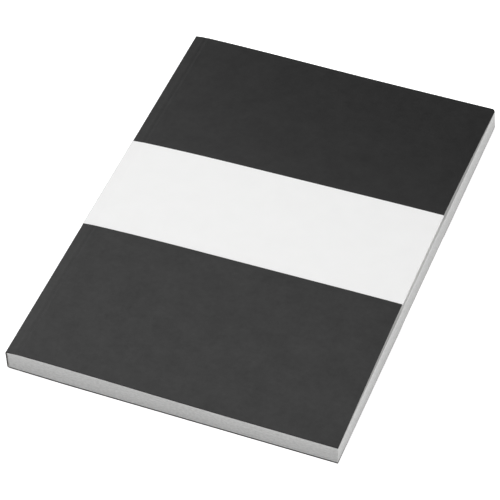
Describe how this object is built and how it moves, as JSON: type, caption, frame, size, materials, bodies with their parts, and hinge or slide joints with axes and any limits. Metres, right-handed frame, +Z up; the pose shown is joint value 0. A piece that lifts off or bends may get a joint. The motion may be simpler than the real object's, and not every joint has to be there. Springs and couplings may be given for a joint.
{
  "type": "softcover notebook",
  "caption": "Softcover notebook: plain dark card cover round a glued block of blank pages, with a loose white paper band folded in at the cover edges.",
  "frame": {"origin": "under the middle of the notebook's footprint, on the surface that it lies on", "axes": "+X from the spine to the fore edge, +Y along the spine from the front short edge to the back one, +Z up"},
  "size_m": [0.1488, 0.21, 0.0144],
  "materials": {
    "pages": "uncoated, trimmed edges",
    "binding_glue": "hot-melt glue",
    "cover_card": "matte card, through-dyed",
    "band_paper": "matte, smooth"
  },
  "bodies": {
    "block": {"page_block": "pages", "spine_glue": "binding_glue", "cover_spine": "cover_card", "band_spine": "band_paper"},
    "front": {"front_cover": "cover_card", "band_front": "band_paper"},
    "back": {"back_cover": "cover_card", "band_back": "band_paper"}
  },
  "joints": [
    {"name": "front_cover_hinge", "type": "hinge", "parent": "block", "child": "front", "pos_m": [-0.06857, 0, 0.01147], "axis": [0, -1, 0], "range_deg": [0, 175]},
    {"name": "back_cover_hinge", "type": "hinge", "parent": "block", "child": "back", "pos_m": [-0.06857, 0, 0.0003], "axis": [0, 1, 0], "range_deg": [0, 175]}
  ]
}
